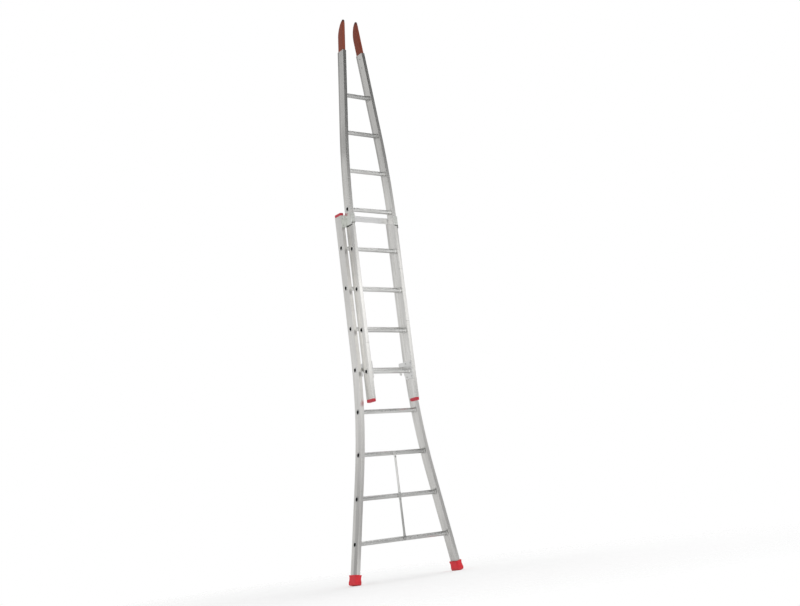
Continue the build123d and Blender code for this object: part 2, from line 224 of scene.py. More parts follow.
def pair(node, made, body, slot, material, points, quads, lids=(), patterns=(), **fields):
    """A right-hand piece and its mirror image on the left, which stand for the solids of both sides. The
    patterns, where given, are the places from which the right and the left piece take their grain."""
    for order, side in enumerate(("right", "left")):
        if len(patterns):
            fields["straight"] = patterns[order]
        placed = mirrored(points) if side == "left" else points
        fitted(f"{node}_{side}", made, body, slot, material, placed, quads, lids, **fields)


def tone(colour):
    """Shader colour from red, green and blue counts of 0 to 255 as a screen shows them."""
    share = np.array(colour) / 255
    linear = np.where(share <= 0.04045, share / 12.92, ((share + 0.055) / 1.055) ** 2.4)
    return (*linear.tolist(), 1.0)


def new_finish(name):
    """Empty material with its node tree and its main shader."""
    material = bpy.data.materials.new(name)
    material.use_nodes = True
    tree = material.node_tree
    return material, tree, tree.nodes["Principled BSDF"]


def source(tree, kind, output, **options):
    """Add a node with its options to a tree and return one of its outputs."""
    node = tree.nodes.new("ShaderNode" + kind)
    for option, value in options.items():
        setattr(node, option, value)
    return node.outputs[output]


def put(kind, inputs, output=0, **options):
    """Add a node to the tree that its inputs come from. Each input is a value or an output to link."""
    tree = next(value.id_data for value in inputs.values() if isinstance(value, bpy.types.NodeSocket))
    result = source(tree, kind, output, **options)
    for name, value in inputs.items():
        socket = result.node.inputs[name]
        if isinstance(value, bpy.types.NodeSocket):
            tree.links.new(value, socket)
        else:
            socket.default_value = value
    return result


def along(tree, name=""):
    """Places that the mesh keeps for every vertex, or object coordinates where no name is given."""
    if name:
        return source(tree, "Attribute", "Vector", attribute_name=name)
    return source(tree, "TexCoord", "Object")


def axis_of(place, axis):
    """One coordinate of a place."""
    return put("SeparateXYZ", {"Vector": place}, axis)


def speckle(place, scale, detail=4.0, roughness=0.55):
    """Noise from 0 to 1, with one scale or one for each axis, in counts per metre."""
    stretched = put("Mapping", {"Vector": place, "Scale": np.broadcast_to(scale, 3).tolist()})
    noise = {"Vector": stretched, "Scale": 1.0, "Detail": detail, "Roughness": roughness}
    return put("TexNoise", noise)


def ranged(value, old, new=(0.0, 1.0)):
    """Map one range of values onto another, held at its ends."""
    ends = dict(zip(("From Min", "From Max", "To Min", "To Max"), (*old, *new)))
    return put("MapRange", {"Value": value, **ends})


def sums(operation, *values):
    """One arithmetic step on one or two numbers."""
    return put("Math", dict(enumerate(values)), operation=operation)


def blended(share, first, second):
    """Two colours mixed by a share."""
    return put("Mix", {0: share, 6: first, 7: second}, 2, data_type="RGBA")


def finish(tree, shader, colour, rough, relief, depth, strength):
    """Link colour and roughness to the main shader, with fine relief of this depth in metres."""
    bump = put("Bump", {"Height": relief, "Distance": depth, "Strength": strength})
    for value, socket in ((colour, "Base Color"), (rough, "Roughness"), (bump, "Normal")):
        tree.links.new(value, shader.inputs[socket])


def aluminium(name, pale, dull, scuff, grain, roughness=(0.2, 0.34), places=""):
    """Mill-finish aluminium: die lines along the grain, cloudy oxide, short handling scuffs, and brighter
    where the wear-and-shade field is high, which holds wear and, on the stiles and rungs, painted shade. The
    grain is a noise scale, low along the length and high across it."""
    material, tree, shader = new_finish(name)
    place = along(tree, places)
    grain = np.array(grain)
    lines = speckle(place, grain, detail=3.0)
    cloud = speckle(place, np.clip(grain * cloud_share, *cloud_limits), detail=6.0)
    scrape = speckle(place, grain[::-1] * scrape_share, detail=2.0, roughness=0.4)
    marks = ranged(scrape, scrape_levels)
    # The wear field carries wear and, on the stiles and rungs, painted shade.
    wear = source(tree, "Attribute", "Fac", attribute_name="wear")
    wear_and_shade_part = sums("MULTIPLY", wear, wear_share)
    clear = sums("ADD", wear_and_shade_part, ranged(cloud, middling, cloud_shade))
    streaked = sums("ADD", clear, ranged(lines, (0.25, 0.75), (-line_shade, line_shade)))
    metal = blended(streaked, tone(dull), tone(pale))
    marked = blended(sums("MULTIPLY", marks, scuff_share), metal, tone(scuff))
    smooth = ranged(lines, (0.2, 0.8), roughness)
    rough = sums("ADD", smooth, sums("MULTIPLY", marks, scuff_rough))
    shader.inputs["Metallic"].default_value = 1.0
    finish(tree, shader, marked, rough, lines, line_depth, 0.5)
    return material


def stile_profiles():
    """The outer outline and the cavity's outline, column by column and in step, as (out, y) pairs: groove
    floor, groove wall, ridge, corner and narrow face, mirrored to all four quarters. The columns on the
    groove floors are spaced as the tangent of even angles, so that they aim at the rung holes evenly."""
    lip_end = groove_half + groove_lip
    ridge_end = stile_half_depth - stile_corner
    lip = arc((stile_half_width - groove_lip, lip_end), groove_lip, -90, 0, 3)
    ridge = [(stile_half_width, lip_end + hold_step), (stile_half_width, ridge_end - hold_step)]
    round_corner = arc((stile_half_width - stile_corner, ridge_end), stile_corner, 0, 90, 8)
    narrow = [(stile_half_width - stile_corner - hold_step, stile_half_depth), (0, stile_half_depth)]
    outer = np.concatenate([lip, ridge, round_corner, narrow])
    wall_x, wall_end = cavity_half_width - cavity_corner, cavity_half_depth - cavity_corner
    wall_y = np.linspace(floor_half, wall_end - hold_step, len(lip) + len(ridge) + 1)[1:]
    wall = points_of(cavity_half_width, wall_y)
    inner_corner = arc((wall_x, wall_end), cavity_corner, 0, 90, 8)
    inner_narrow = [(wall_x - hold_step, cavity_half_depth), (0, cavity_half_depth)]
    inner = np.concatenate([wall, inner_corner, inner_narrow])
    loops = []
    for quarter, floor in ((outer, groove_floor), (inner, cavity_half_width)):
        face = points_of(floor, floor_half * aim)
        back = quarter[-2::-1]
        loops.append(np.concatenate([
            face, quarter, back * (-1, 1), face * (-1, -1), quarter * (-1, -1), back * (1, -1),
        ]))
    return loops[0], loops[1], hole_columns + 2 * len(outer) - 1


aim = np.tan(np.linspace(-pi / 4, pi / 4, hole_columns))
hole_up, hole_across = (edge_of(grid) for grid in np.meshgrid(aim, aim, indexing="ij"))
outer_loop, cavity_loop, inner_face = stile_profiles()
loop_out, loop_y = outer_loop.T
# Painted shade across the faces: the front half of the outer face, the inner face and the inner half of each
# narrow face.
side_shade = np.interp(loop_y, side_shade_reach, (1.0, least_side_shade))
across_edge = np.interp(loop_out, (-groove_floor, groove_floor), narrow_face_shade)
on_edge = np.abs(loop_out) < groove_floor - hold_step
column_shade = np.select([on_edge, loop_out < 0], [across_edge, inner_face_shade], side_shade)
dull_back = dull_top["back"] * np.interp(loop_y, dull_top["back_y"], (0, 1))
column_dull = np.maximum(dull_back, dull_top["inner"] * (loop_out < -cavity_half_width))
on_outer = loop_out > cavity_half_width


def stile_shell(section):
    """Right-hand stile as a closed shell: the two outlines carried up the bent middle line, joined at both
    ends, with a round hole cut at each rung through the inner wall and, for the open rungs, the outer wall.
    Round a hole, a square block of quads gives way to a fan from the block's edge to the hole. Each point
    keeps its place on the unbent stile and its wear and shade, which is the shine that painted shade and
    dulling leave."""
    rungs = section["rungs"]
    row_count = int((section["top"] - section["bottom"]) / row_spacing) + 1
    even = np.linspace(section["bottom"], section["top"], row_count)
    even = even[np.abs(even[:, None] - rungs).min(axis=1) > floor_half + row_spacing / 4]
    rows = np.sort(np.concatenate([even, (rungs[:, None] + floor_half * aim).ravel()]))
    count = len(rows) * len(outer_loop)
    skins = np.arange(2 * count).reshape(2, len(rows), -1)
    straight = [points_of(*loop.T, rows[:, None]).reshape(-1, 3) for loop in (outer_loop, cavity_loop)]
    holes = [(rung_z, first, side) for number, rung_z in enumerate(rungs)
             for first, side in ((inner_face, -1), (0, 1)) if side < 0 or number < section["open_rungs"]]
    keep = np.ones((len(rows) - 1, len(outer_loop)), bool)
    quads = []
    new = 2 * count
    for rung_z, first, side in holes:
        low = np.searchsorted(rows, rung_z - floor_half - hold_step)
        keep[low:low + hole_columns - 1, first:first + hole_columns - 1] = False
        blocks = skins[:, low:low + hole_columns, first:first + hole_columns]
        turn = np.arctan2(hole_up, side * hole_across)
        slope = stile_line(section, rung_z)[1]
        rings = [edge_of(blocks[0])]
        for out in (side * groove_floor, side * cavity_half_width):
            z = rung_z + rung_hole * np.sin(turn) - out * np.sin(slope)
            straight.append(points_of(out, rung_hole * np.cos(turn), z))
            rings.append(new + np.arange(len(turn)))
            new += len(turn)
        rings.append(edge_of(blocks[1]))
        quads.append(cells(ringed(np.array(rings))))
    quads += [cells(ringed(numbers))[keep.ravel()] for numbers in skins]
    quads += [cells(ringed(skins[:, end])) for end in (0, -1)]
    straight = np.concatenate(straight)
    # Painted shade towards the floor and across the faces, dulling towards the tips, and the outer sides'
    # painted bracket shade and darker stretch.
    low_shade = np.clip((low_shade_height - rows) / low_shade_height, least_low_shade, 1)[:, None]
    top_dulling = column_dull * np.interp(rows, dull_top["z"], (0, 1))[:, None]
    outer_shade_and_dulling = on_outer * np.interp(rows, *section["outer_shade_and_dulling"])[:, None]
    unshaded = (1 - column_shade * low_shade) * (1 - top_dulling) * (1 - outer_shade_and_dulling)
    wear = np.zeros(len(straight))
    wear[:count] = bright_wear * unshaded.ravel()
    return on_stile(section, *straight.T), np.concatenate(quads), straight, wear


for level, section in sections.items():
    points, quads, straight, wear = stile_shell(section)
    patterns = [straight + pattern_shift * (order + 2 * section["bends"]) for order in (0, 1)]
    metal = aluminium(
        f"{level}_stile_aluminium", pale=(239, 238, 235), dull=(139, 138, 136), scuff=(122, 122, 121),
        grain=(900.0, 900.0, 5.0), roughness=section["rough"], places="straight",
    )
    pair(f"{level}_stile", "drawn", f"{level}_section", "stile_aluminium", metal, points, quads,
         patterns=patterns, wear=wear)


# Rungs
# Ribbed aluminium tubes through both stiles, each with collars swaged up against the stiles' inner sides and
# its open ends rolled over outside. The three top rungs end inside the stiles. Rungs in the middle are
# polished by use, and those at the top are duller. Painted shade darkens their under sides.
rung_radius = 0.0135
rung_bore = 0.0112
rib_count = 22
rib_points = 8
rib_depth = 0.0007
rib_narrowness = 3
rib_fade = 0.006
rim_radius = 0.016
rim_thickness = 0.0016
rim_round = 0.0008
collar_radius = 0.017
collar_length = 0.0046
collar_round = 0.0012
seat_gap = 0.00005
hook_thickness = 0.005
rung_look = {
    "pale": (250, 250, 248), "scuff": (110, 109, 107),
    "grain": (6.0, 700.0, 700.0), "roughness": (0.15, 0.27),
}
dull_rungs_from = 2.6
polish_by_height = ((0.9, 1.3, 2.2, 2.9), (0.3, 1.0, 1.0, 0.3))
crown_by_height = ((2.75, 2.95), (1.0, 0.0))
# The under side loses polish as painted shade.
shaded_under_turn = (-0.95, -0.4)
shaded_under_polish = 0.25
crown_turn = (0.3, 0.6)


def eased_step(share):
    """Smooth step: three times the square of the share less twice its cube, held at 0 and 1."""
    share = np.clip(share, 0, 1)
    return share**2 * (3 - 2 * share)


def rung_outline(stile_x, slope, collar_seat, through):
    """Half outline of a rung, from its middle to one end and back along the bore, as rows of (x, radius, rib
    share, tilt share): ribbed tube, plain grip, rounded collar, shank through the stile and rolled rim."""
    seat = stile_x - (collar_seat + seat_gap) / cos(slope)
    foot = seat - collar_length
    rise = np.linspace(0, 1, 6)[:-1]
    swell = rung_radius + (collar_radius - rung_radius) * eased_step(rise)
    bead = points_of(foot + rise * (collar_length - collar_round), swell)
    crest = arc((seat - collar_round, collar_radius - collar_round), collar_round, 90, 0, 4)
    grip = stile_x - 2 * stile_half_width
    tube = [(x, rung_radius) for x in (0, grip - rib_fade, grip, foot - hold_step)]
    shank = [(seat, rung_radius)]
    bore = [(grip, rung_bore), (0, rung_bore)]
    if through:
        rim = stile_x + (groove_floor + seat_gap) / cos(slope)
        round_x = rim + rim_thickness - rim_round
        over = arc((round_x, rim_radius - rim_round), rim_round, 90, 0, 4)
        under = arc((round_x, rung_bore + rim_round), rim_round, 0, -90, 4)
        end = np.concatenate([[(rim, rung_radius), (rim, rim_radius)], over, under])
    else:
        stop = stile_x + (cavity_half_width - seat_gap) / cos(slope)
        end = [(stop, rung_radius), (stop, rung_bore)]
    outline = np.concatenate([tube, bead, crest, shank, end, bore])
    ribs = np.zeros(len(outline))
    ribs[:2] = 1
    tilt = np.ones(len(outline))
    tilt[[0, -1]] = 0
    return np.column_stack([outline, ribs, tilt])


def rung_tube(section, z, collar_seat, through):
    """Rung as a closed ring of rows: the half outline turned round the rung's axis and mirrored to the other
    end. The radius loses narrow grooves, a raised cosine of the turn to a power. Near the stiles, x leans by
    the height times the tangent of the stile's slope, so that rim and collar lie flat on the wall. Wear is
    the polish at that height, less in the grooves and on the highest rungs' crown, and less on the under
    side as painted shade."""
    stile_x, slope = stile_line(section, z)
    outline = rung_outline(stile_x, slope, collar_seat, through)
    loop = np.concatenate([outline, outline[-2:0:-1] * (-1, 1, 1, 1)])
    turn = np.linspace(0, 2 * pi, rib_count * rib_points, endpoint=False)
    groove = (0.5 - 0.5 * np.cos(rib_count * turn)) ** rib_narrowness
    x, radius, ribs, tilt = (column[:, None] for column in loop.T)
    reach = radius - rib_depth * ribs * groove
    height = reach * np.sin(turn)
    lean = np.sign(x) * tilt * height * tan(slope)
    places = points_of(x - lean, section["y"] + reach * np.cos(turn), z + height)
    numbers = np.arange(reach.size).reshape(reach.shape)
    numbers = np.concatenate([numbers, numbers[:1]])
    crown = np.interp(z, *crown_by_height)
    turned = np.interp(np.sin(turn), shaded_under_turn + crown_turn, (shaded_under_polish, 1.0, 1.0, crown))
    polish = np.interp(z, *polish_by_height) * turned * (1 - ribs * groove)
    return places, cells(ringed(numbers)), np.where(radius > rung_bore + hold_step, polish, 0.0).ravel()


rung_metal = aluminium("rung_aluminium", dull=(156, 156, 155), **rung_look)
high_rung_metal = aluminium("high_rung_aluminium", dull=(110, 110, 109), **rung_look)
for level, section in sections.items():
    for number, rung_z in enumerate(section["rungs"], 1):
        hooked = (level, number) == ("upper", 1)
        collar_seat = stile_half_width + hook_thickness if hooked else groove_floor
        points, quads, wear = rung_tube(section, rung_z, collar_seat, number <= section["open_rungs"])
        metal = high_rung_metal if rung_z > dull_rungs_from else rung_metal
        fitted(f"{level}_rung_{number}", "ribbed", f"{level}_section", "rung_aluminium", metal,
               points, quads, wear=wear)


# Feet
# Moulded red rubber boots pushed over the stile ends, drawn in at the waist, with a flared rim and a rounded
# sole square to the stile. The sole is trimmed level where it stands and has five grooves for grip.
foot_wall = 0.0065
foot_flare = 0.0032
foot_corner = 0.009
foot_waist = 0.020
foot_height = 0.039
rim_bead = 0.0012
sole_thickness = 0.0185
sole_round = 0.011
sole_cells = (20, 140, 5)
socket_gap = 0.0001
tread_count = 5
tread_pitch = 0.011
tread_half_width = 0.002
tread_half_length = 0.013
tread_depth = 0.003
tread_slope = 0.0006
rubber_red = (220, 50, 60)
rubber_deep = (196, 36, 47)
rubber_dust = (196, 138, 132)
rubber_patches = 45.0
rubber_grain = 1900.0
rubber_grain_depth = 0.00006
dust_patches = 130.0
dust_height = 0.016
dust_share = 0.5
dust_rough = 0.2


def rounded_loops(counts, half_x, half_y, corner):
    """Rounded rectangles of many sizes at once, one row of points for each entry of the size lists. A point
    is a place on a core rectangle plus the corner radius along a normal. Sides follow in order +X, +Y, -X,
    -Y, from the middle of one corner to the next. Counts are cells in X, in Y and in half a corner."""
    cells_x, cells_y, corner_cells = counts
    sides = []
    for count, (x, y) in zip((cells_y, cells_x) * 2, ((1, 0), (0, 1), (-1, 0), (0, -1))):
        step = np.arange(count)
        bends = (corner_cells, count - corner_cells)
        slide = np.interp(step, bends, (-1, 1))
        swing = np.radians(np.interp(step, (0, *bends, count), (-45, 0, 0, 45)))
        across, up = np.cos(swing), np.sin(swing)
        sides.append(points_of(x - y * slide, y + x * slide, x * across - y * up, y * across + x * up))
    core, normal = np.split(np.concatenate(sides), 2, axis=1)
    half = points_of(half_x, half_y)[:, None]
    corner = corner[:, None, None]
    return core * (half - corner) + corner * normal


def stack_faces(rings):
    """Quads between stacked rings of points, and a lid on the first ring and on the last."""
    numbers = np.arange(rings[..., 0].size).reshape(rings.shape[:2])
    return cells(ringed(numbers)), [numbers[0], numbers[-1]]


def on_end(section, end, out, y, axial):
    """Points at the top or bottom end of a right-hand stile: from the middle of the end, out along the
    stile's outward normal, y towards the wall and axial along its slope."""
    slope = stile_line(section, section[end])[1]
    heading = np.array([-sin(slope), 0, cos(slope)])
    return on_stile(section, out, y, section[end]) + np.expand_dims(axial, -1) * heading


def filled(edge, numbers):
    """Points across a rounded rectangle from its edge loop and its patch of numbers: facing sides are
    bridged in straight lines, the bridges are added and the corners' own bridge is taken off again."""
    bottom, top, left, right = (edge[line] for line in (*numbers[[0, -1]], *numbers.T[[0, -1]]))
    u = np.linspace(0, 1, len(bottom))[None, :, None]
    v = np.linspace(0, 1, len(left))[:, None, None]
    upright = (1 - v) * bottom + v * top
    level = (1 - u) * left[:, None] + u * right[:, None]
    corners = (1 - v) * ((1 - u) * bottom[0] + u * bottom[-1]) + v * ((1 - u) * top[0] + u * top[-1])
    return upright + level - corners


def patch_numbers(first, cells_x, cells_y):
    """Vertex numbers of a filled patch: the loop's own numbers at its edge, new ones from first inside."""
    around = 2 * (cells_x + cells_y)
    numbers = np.empty((cells_y + 1, cells_x + 1), int)
    numbers[1:-1, 1:-1] = first + np.arange((cells_y - 1) * (cells_x - 1)).reshape(cells_y - 1, -1)
    numbers[:, -1] = np.arange(cells_y + 1)
    numbers[-1, ::-1] = cells_y + np.arange(cells_x + 1)
    numbers[::-1, 0] = cells_y + cells_x + np.arange(cells_y + 1)
    numbers[0, :] = (2 * cells_y + cells_x + np.arange(cells_x + 1)) % around
    return numbers


def foot_boot(section):
    """Right-hand foot as a closed shell. Its rounded sections, all square to the stile, go from the flat of
    the sole round its edge, in to the waist and out to the rim as a square of the way from the waist, over
    the rim and down the socket. The sole is filled with its grooves, and no point lies below the floor."""
    tuck = np.radians(np.linspace(0, 90, 13))
    bead = np.radians(np.linspace(0, 90, 6))
    rim_low = foot_height - rim_bead
    side = np.linspace(0, rim_low, 24)
    away = (side - foot_waist) / np.where(side < foot_waist, foot_waist, rim_low - foot_waist)
    bead_lift = rim_low + rim_bead * np.sin(bead)
    bead_draw = rim_bead * (1 - np.cos(bead))
    sole_lift = sole_round * (1 - np.cos(tuck)) - sole_thickness
    lift = np.r_[sole_lift, side, bead_lift, bead_lift[::-1], hold_step, 0]
    sole_grow = foot_flare - sole_round * (1 - np.sin(tuck))
    skin_grow = np.r_[sole_grow, foot_flare * away**2, foot_flare - bead_draw]
    mouth_grow = np.r_[bead_draw[::-1], 0, 0]
    grow = np.r_[foot_wall + skin_grow, socket_gap + mouth_grow]
    corner = np.r_[foot_corner + skin_grow, stile_corner + socket_gap + mouth_grow]
    outline = rounded_loops(sole_cells, stile_half_width + grow, stile_half_depth + grow, corner)
    patch = patch_numbers(outline[..., 0].size, *sole_cells[:2])
    sole = filled(outline[0], patch)[1:-1, 1:-1].reshape(-1, 2)
    tread = np.clip(np.round(sole[:, 1] / tread_pitch), -(tread_count // 2), tread_count // 2)
    past = np.maximum(np.abs(sole[:, 0]) - tread_half_length + tread_half_width, 0)
    off = np.hypot(sole[:, 1] - tread * tread_pitch, past)
    dent = tread_depth * np.clip((tread_half_width + tread_slope / 2 - off) / tread_slope, 0, 1)
    axial = np.r_[np.repeat(lift, outline.shape[1]), dent - sole_thickness]
    places = on_end(section, "bottom", *np.concatenate([outline.reshape(-1, 2), sole]).T, axial)
    places[:, 2] = np.maximum(places[:, 2], 0)
    quads, lids = stack_faces(outline)
    return places, np.concatenate([quads, cells(patch)]), lids[1:]


def rubber(name):
    """Moulded rubber: slightly uneven red, a matt grain, and pale dust rubbed in near the floor."""
    material, tree, shader = new_finish(name)
    place = along(tree)
    uneven = speckle(place, rubber_patches, detail=5.0)
    grain = speckle(place, rubber_grain, detail=2.0)
    dust = ranged(speckle(place, dust_patches, detail=6.0), (0.42, 0.66))
    low = ranged(axis_of(place, "Z"), (0.0, dust_height), (1.0, 0.0))
    rubbed = sums("MULTIPLY", low, dust)
    body = blended(ranged(uneven, middling), tone(rubber_deep), tone(rubber_red))
    dusty = blended(sums("MULTIPLY", rubbed, dust_share), body, tone(rubber_dust))
    matt = ranged(uneven, middling, (0.46, 0.58))
    rough = sums("ADD", matt, sums("MULTIPLY", rubbed, dust_rough))
    shader.inputs["Specular IOR Level"].default_value = 0.3
    finish(tree, shader, dusty, rough, grain, rubber_grain_depth, 0.6)
    return material


pair("foot", "boot", "lower_section", "foot_rubber", rubber("foot_rubber"), *foot_boot(lower))


# End caps
# Red plastic plugs with a domed head, pressed into the tops of the lower stiles and the bottoms of the upper
# ones. A hollow plug below the head grips the inside of the stile.
cap_height = 0.019
cap_overhang = 0.0006
cap_corner = 0.006
cap_round = 0.005
cap_crown = 0.0012
cap_foot_round = 0.0004
cap_cells = (16, 32, 6)
least_crown = 0.0008
least_head_corner = 0.0006
plug_length = 0.015
plug_gap = 0.0001
plug_wall = 0.0025
plug_round = 0.0004
plug_floor = 0.001
plastic_red = (200, 40, 60)
plastic_deep = (176, 28, 48)
plastic_swirl = 60.0
plastic_grain = 2600.0
plastic_grain_depth = 0.00003
rub_marks = (220.0, 30.0, 220.0)
rub_rough = 0.18


def domed_cap(section, end, up):
    """Cap on a stile end that faces up or down, as rounded sections from the middle of the crown over the
    rounded shoulder, down the side, under the head and down the plug to its hollow. The crown rises as
    the square of the way in from the shoulder."""
    shoulder = np.radians(np.linspace(90, 0, 9))
    inset = np.linspace(1, 0, 9)[:-1]
    head_x, head_y = stile_half_width + cap_overhang, stile_half_depth + cap_overhang
    plug_x, plug_y = cavity_half_width - plug_gap, cavity_half_depth - plug_gap
    crown = cap_round + inset * (head_x - cap_round - least_crown)
    shrink = np.r_[crown, cap_round * (1 - np.cos(shoulder)), 0, cap_foot_round]
    head_corner = np.maximum(cap_corner - shrink, least_head_corner)
    head = rounded_loops(cap_cells, head_x - shrink, head_y - shrink, head_corner)
    plug_shrink = np.array([0, 0, plug_round, plug_wall, plug_wall])
    plug_corner = np.maximum(cavity_corner - plug_shrink, plug_round)
    plug = rounded_loops(cap_cells, plug_x - plug_shrink, plug_y - plug_shrink, plug_corner)
    crown_rise = cap_height - cap_crown * (1 - inset) ** 2
    shoulder_rise = cap_height - cap_crown - cap_round * (1 - np.sin(shoulder))
    plug_rise = [0, plug_round - plug_length, -plug_length, -plug_length, -plug_floor]
    rise = np.r_[crown_rise, shoulder_rise, cap_foot_round, 0, plug_rise]
    outline = np.concatenate([head, plug])
    places = on_end(section, end, outline[..., 0], outline[..., 1], up * rise[:, None])
    return places, *stack_faces(places)


def plastic(name):
    """Moulded plastic with a faint swirl, a fine satin grain and a few duller rub marks."""
    material, tree, shader = new_finish(name)
    place = along(tree)
    swirl = speckle(place, plastic_swirl)
    grain = speckle(place, plastic_grain, detail=2.0)
    rubs = ranged(speckle(place, rub_marks, detail=3.0), (0.58, 0.7))
    body = blended(ranged(swirl, middling), tone(plastic_deep), tone(plastic_red))
    satin = ranged(swirl, middling, (0.3, 0.38))
    rough = sums("ADD", satin, sums("MULTIPLY", rubs, rub_rough))
    finish(tree, shader, body, rough, grain, plastic_grain_depth, 0.5)
    return material


cap_plastic = plastic("cap_plastic")
for level, end, up in (("lower", "top", 1), ("upper", "bottom", -1)):
    cap = domed_cap(sections[level], end, up)
    pair(f"{level}_cap", "domed", f"{level}_section", "cap_plastic", cap_plastic, *cap)


# Guide
# Two brackets bent from aluminium strip and riveted to the fronts of the lower stiles, which wrap round the
# upper stiles, and a flat bar between them. Sheared edges are rubbed round, and a band of painted shadow
# darkens the brackets' lower edges beside the upper stiles.
weld_distance = 0.00001
flat_angle = radians(0.5)
plate_bevel = 0.0005
strap_thickness = 0.003
lip_notch = 0.014
guide_look = {"scuff": (128, 128, 127), "grain": (8.0, 300.0, 700.0), "roughness": (0.22, 0.36)}
# Painted shadow along the brackets' lower edges: its colour, band, drift and where it stops.
bracket_shadow = (66, 66, 63)
shadow_band = (0.0015, 0.0065)
shadow_drift = 0.002
shadow_drift_scale = 220.0
flange_clear = 0.004


def refinished(node, material, width):
    """Give a solid that stays its finish, weld its loose triangles, dissolve them into flat faces and round
    its sharp edges."""
    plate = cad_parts[node]
    plate.data.materials.clear()
    plate.data.materials.append(material)
    weld = plate.modifiers.new("weld", "WELD")
    weld.merge_threshold = weld_distance
    flat = plate.modifiers.new("flat", "DECIMATE")
    flat.decimate_type = "DISSOLVE"
    flat.angle_limit = flat_angle
    bevel = plate.modifiers.new("bevel", "BEVEL")
    bevel.width = width
    bevel.segments = 2
    bevel.limit_method = "ANGLE"
    bevel.angle_limit = crisp_angle
    bevel.harden_normals = True


def shadowed_edge(material, bottom, lip_back, flange_front):
    """Paint a band of shadow on a bracket's finish along its lower edge beside the upper stile, in front of
    the flange. The edge of the lip in front lies higher than the plate's by the depth of the lip's notch."""
    tree = material.node_tree
    colour = tree.nodes["Principled BSDF"].inputs["Base Color"]
    unshaded = colour.links[0].from_socket
    place = along(tree)
    depth = axis_of(place, "Y")
    notch = sums("MULTIPLY", sums("LESS_THAN", depth, lip_back), lip_notch)
    height = sums("SUBTRACT", axis_of(place, "Z"), bottom)
    over_edge = sums("SUBTRACT", height, notch)
    drift = ranged(speckle(place, shadow_drift_scale), middling, (-shadow_drift, shadow_drift))
    line = ranged(sums("ADD", over_edge, drift), shadow_band, (1.0, 0.0))
    line = sums("MULTIPLY", line, sums("LESS_THAN", depth, flange_front))
    tree.links.new(blended(line, unshaded, tone(bracket_shadow)), colour)


bar_metal = aluminium("bar_aluminium", pale=(248, 248, 247), dull=(234, 234, 234), **guide_look)
bracket_metal = aluminium("bracket_aluminium", pale=(238, 239, 236), dull=(212, 214, 209), **guide_look)
bracket_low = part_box("guide_bracket_right")[0]
flange_y = lower["y"] - stile_half_depth - strap_thickness
# Painted shadow on the brackets' lower edges.
shadowed_edge(bracket_metal, bracket_low.z, bracket_low.y + 2 * plate_bevel, flange_y - flange_clear)
refinished("guide_bracket_left", bracket_metal, plate_bevel)
refinished("guide_bracket_right", bracket_metal, plate_bevel)
refinished("guide_cross_bar", bar_metal, plate_bevel)


# Hooks
# Aluminium plates riveted to the inner faces of the upper stiles, with an arm that reaches back and over a
# rung of the lower section. The edges are tumbled round and the plates are scuffed by the rungs.
hook_metal = aluminium(
    "hook_aluminium", pale=(242, 242, 240), dull=(222, 222, 221), scuff=(104, 103, 101),
    grain=(300.0, 260.0, 260.0), roughness=(0.32, 0.5),
)
refinished("hook_left", hook_metal, 2 * plate_bevel)
refinished("hook_right", hook_metal, 2 * plate_bevel)


# Tie rod
# A thin aluminium tube down the middle of the three lowest rungs, in front of them. It is pressed flat where
# it crosses a rung and riveted there, and it is duller towards the floor.
tie_rungs = 3
tie_radius = 0.0065
flat_half_width = 0.0095
flat_half_depth = 0.0018
flat_half_length = 0.014
squeeze_length = 0.022
tie_row_spacing = 0.002
tie_end_turn = -87
tie_roundness = 0.98
tie_cells = (16, 16, 6)
tie_wear = ((0.35, 0.56), (0.0, 0.9))


def pressed_rod(section, y):
    """Rod as rounded sections up its length: the half width and half thickness go from the flats' sizes to
    the round rod's by a smooth step, and at both ends the half width closes as a half circle."""
    rungs = section["rungs"][:tie_rungs]
    bow = flat_half_width * np.sin(np.radians(np.linspace(tie_end_turn, 0, 14)))
    body = np.arange(rungs[0], rungs[-1], tie_row_spacing)[1:]
    z = np.r_[rungs[0] + bow, body, rungs[-1] - bow[::-1]]
    off = np.abs(z[:, None] - rungs).min(axis=1)
    round_share = eased_step((off - flat_half_length) / squeeze_length)
    half_x = flat_half_width + (tie_radius - flat_half_width) * round_share
    half_y = flat_half_depth + (tie_radius - flat_half_depth) * round_share
    past = np.maximum(np.maximum(rungs[0] - z, z - rungs[-1]), 0)
    half_x = np.minimum(half_x, np.sqrt(flat_half_width**2 - past**2))
    outline = rounded_loops(tie_cells, half_x, half_y, tie_roundness * np.minimum(half_x, half_y))
    places = points_of(outline[..., 0], y + outline[..., 1], z[:, None])
    return places, *stack_faces(places)


tie_metal = aluminium(
    "tie_rod_aluminium", pale=(240, 240, 238), dull=(146, 146, 144), scuff=(118, 117, 115),
    grain=(700.0, 700.0, 8.0),
)
tie_axis_y = lower["y"] - rung_radius - flat_half_depth
points, quads, lids = pressed_rod(lower, tie_axis_y)
wear = np.interp(points[..., 2], *tie_wear).ravel()
fitted("tie_rod", "pressed", "lower_section", "tie_rod_aluminium", tie_metal, points, quads, lids, wear=wear)


# Wooden tips
# Tapered hardwood points pushed into the tops of the upper stiles and riveted, stained brown and oiled. The
# front edge is straight and the back edge curves forward to a blunt point, which is thinned from both sides
# and dark with grime.
tip_length = 0.212
tip_tenon = 0.120
tip_shoulder = 0.100
tip_point = 0.009
tip_round = 0.004
tip_roundness = 0.9
tip_thinned = 0.0028
tip_thinned_length = 0.030
tip_gap = 0.0001
tip_cells = (16, 32, 6)
tip_pattern_shift = np.array([0.4, 0.23, 0.0])
wood_brown = (148, 74, 53)
wood_dark = (100, 44, 31)
wood_worn = (34, 22, 22)
wood_drift = (26.0, 26.0, 5.0)
wood_pores = (1100.0, 1100.0, 28.0)
pore_depth = 0.0002
band_turns = {"across": 160.0, "depth": 520.0, "drift": 16.0}
band_share = 0.45
pore_shade = (0.0, 0.6)
tip_grime = (0.188, 0.208)
tip_grime_share = 0.92


